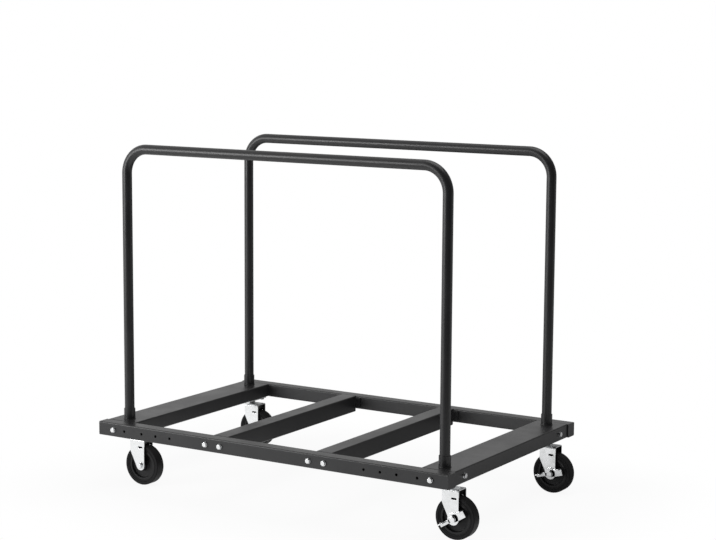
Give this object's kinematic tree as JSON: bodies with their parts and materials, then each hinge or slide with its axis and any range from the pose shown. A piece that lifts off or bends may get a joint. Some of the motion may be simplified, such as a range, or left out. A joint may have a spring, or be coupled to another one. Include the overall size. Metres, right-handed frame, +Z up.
{
  "type": "sheet goods cart",
  "caption": "Flat rolling cart for sheets and round table tops: a bolted box-section bed on swivel casters, with tall bent-tube hoops front and rear that hold the load upright.",
  "frame": {"origin": "on the floor under the middle of the cart's overall box, which takes in the casters as they trail in the picture", "axes": "+X along the rails towards the braked casters, +Y across the bed from the front rail to the rear rail, +Z up"},
  "size_m": [1.3564, 0.8648, 1.124],
  "materials": {
    "coated_steel": "black powder coat, satin, with a fine orange peel",
    "zinc_steel": "bright zinc plate",
    "plain_steel": "plain steel with a film of oil or grease",
    "tread_rubber": "solid black rubber, matt tread and smoother sidewalls",
    "core_plastic": "moulded black plastic"
  },
  "bodies": {
    "cart": {"front_rail": "coated_steel", "rear_rail": "coated_steel", "left_end_beam": "coated_steel", "right_end_beam": "coated_steel", "left_middle_beam": "coated_steel", "right_middle_beam": "coated_steel", "front_hoop": "coated_steel", "rear_hoop": "coated_steel", "front_left_socket": "coated_steel", "front_right_socket": "coated_steel", "rear_left_socket": "coated_steel", "rear_right_socket": "coated_steel", "front_left_corner_bracket": "plain_steel", "front_right_corner_bracket": "plain_steel", "rear_left_corner_bracket": "plain_steel", "rear_right_corner_bracket": "plain_steel", "front_left_end_bolt": "zinc_steel", "front_left_middle_inner_bolt": "zinc_steel", "front_left_middle_outer_bolt": "zinc_steel", "front_right_end_bolt": "zinc_steel", "front_right_middle_inner_bolt": "zinc_steel", "front_right_middle_outer_bolt": "zinc_steel", "rear_left_end_bolt": "zinc_steel", "rear_left_middle_inner_bolt": "zinc_steel", "rear_left_middle_outer_bolt": "zinc_steel", "rear_right_end_bolt": "zinc_steel", "rear_right_middle_inner_bolt": "zinc_steel", "rear_right_middle_outer_bolt": "zinc_steel", "front_left_end_face_bolt": "zinc_steel", "front_right_end_face_bolt": "zinc_steel", "rear_left_end_face_bolt": "zinc_steel", "rear_right_end_face_bolt": "zinc_steel", "front_left_caster_plate": "zinc_steel", "front_right_caster_plate": "zinc_steel", "rear_left_caster_plate": "zinc_steel", "rear_right_caster_plate": "zinc_steel"},
    "front_left_swivel": {"front_left_fork": "zinc_steel", "front_left_swivel_bearing": "plain_steel", "front_left_axle": "zinc_steel"},
    "front_left_wheel": {"front_left_tyre": "tread_rubber", "front_left_wheel_core": "core_plastic"},
    "front_right_swivel": {"front_right_fork": "zinc_steel", "front_right_swivel_bearing": "plain_steel", "front_right_axle": "zinc_steel"},
    "front_right_wheel": {"front_right_tyre": "tread_rubber", "front_right_wheel_core": "core_plastic"},
    "front_right_brake": {"front_right_brake_lever": "zinc_steel"},
    "rear_left_swivel": {"rear_left_fork": "zinc_steel", "rear_left_swivel_bearing": "plain_steel", "rear_left_axle": "zinc_steel"},
    "rear_left_wheel": {"rear_left_tyre": "tread_rubber", "rear_left_wheel_core": "core_plastic"},
    "rear_right_swivel": {"rear_right_fork": "zinc_steel", "rear_right_swivel_bearing": "plain_steel", "rear_right_axle": "zinc_steel"},
    "rear_right_wheel": {"rear_right_tyre": "tread_rubber", "rear_right_wheel_core": "core_plastic"},
    "rear_right_brake": {"rear_right_brake_lever": "zinc_steel"}
  },
  "joints": [
    {"name": "front_left_swivel_turn", "type": "hinge", "parent": "cart", "child": "front_left_swivel", "pos_m": [-0.6088, -0.325, 0.161], "axis": [0, 0, 1], "continuous": true},
    {"name": "front_left_wheel_roll", "type": "hinge", "parent": "front_left_swivel", "child": "front_left_wheel", "pos_m": [-0.5658, -0.325, 0.066], "axis": [0, 1, 0], "continuous": true},
    {"name": "front_right_swivel_turn", "type": "hinge", "parent": "cart", "child": "front_right_swivel", "pos_m": [0.5692, -0.325, 0.161], "axis": [0, 0, 1], "continuous": true},
    {"name": "front_right_wheel_roll", "type": "hinge", "parent": "front_right_swivel", "child": "front_right_wheel", "pos_m": [0.6122, -0.325, 0.066], "axis": [0, 1, 0], "continuous": true},
    {"name": "front_right_brake_press", "type": "hinge", "parent": "front_right_swivel", "child": "front_right_brake", "pos_m": [0.6122, -0.325, 0.066], "axis": [0, -1, 0], "range_deg": [-36, 0]},
    {"name": "rear_left_swivel_turn", "type": "hinge", "parent": "cart", "child": "rear_left_swivel", "pos_m": [-0.6088, 0.325, 0.161], "axis": [0, 0, 1], "continuous": true},
    {"name": "rear_left_wheel_roll", "type": "hinge", "parent": "rear_left_swivel", "child": "rear_left_wheel", "pos_m": [-0.5658, 0.325, 0.066], "axis": [0, 1, 0], "continuous": true},
    {"name": "rear_right_swivel_turn", "type": "hinge", "parent": "cart", "child": "rear_right_swivel", "pos_m": [0.5692, 0.325, 0.161], "axis": [0, 0, 1], "continuous": true},
    {"name": "rear_right_wheel_roll", "type": "hinge", "parent": "rear_right_swivel", "child": "rear_right_wheel", "pos_m": [0.6122, 0.325, 0.066], "axis": [0, 1, 0], "continuous": true},
    {"name": "rear_right_brake_press", "type": "hinge", "parent": "rear_right_swivel", "child": "rear_right_brake", "pos_m": [0.6122, 0.325, 0.066], "axis": [0, -1, 0], "range_deg": [-19, 17]}
  ]
}
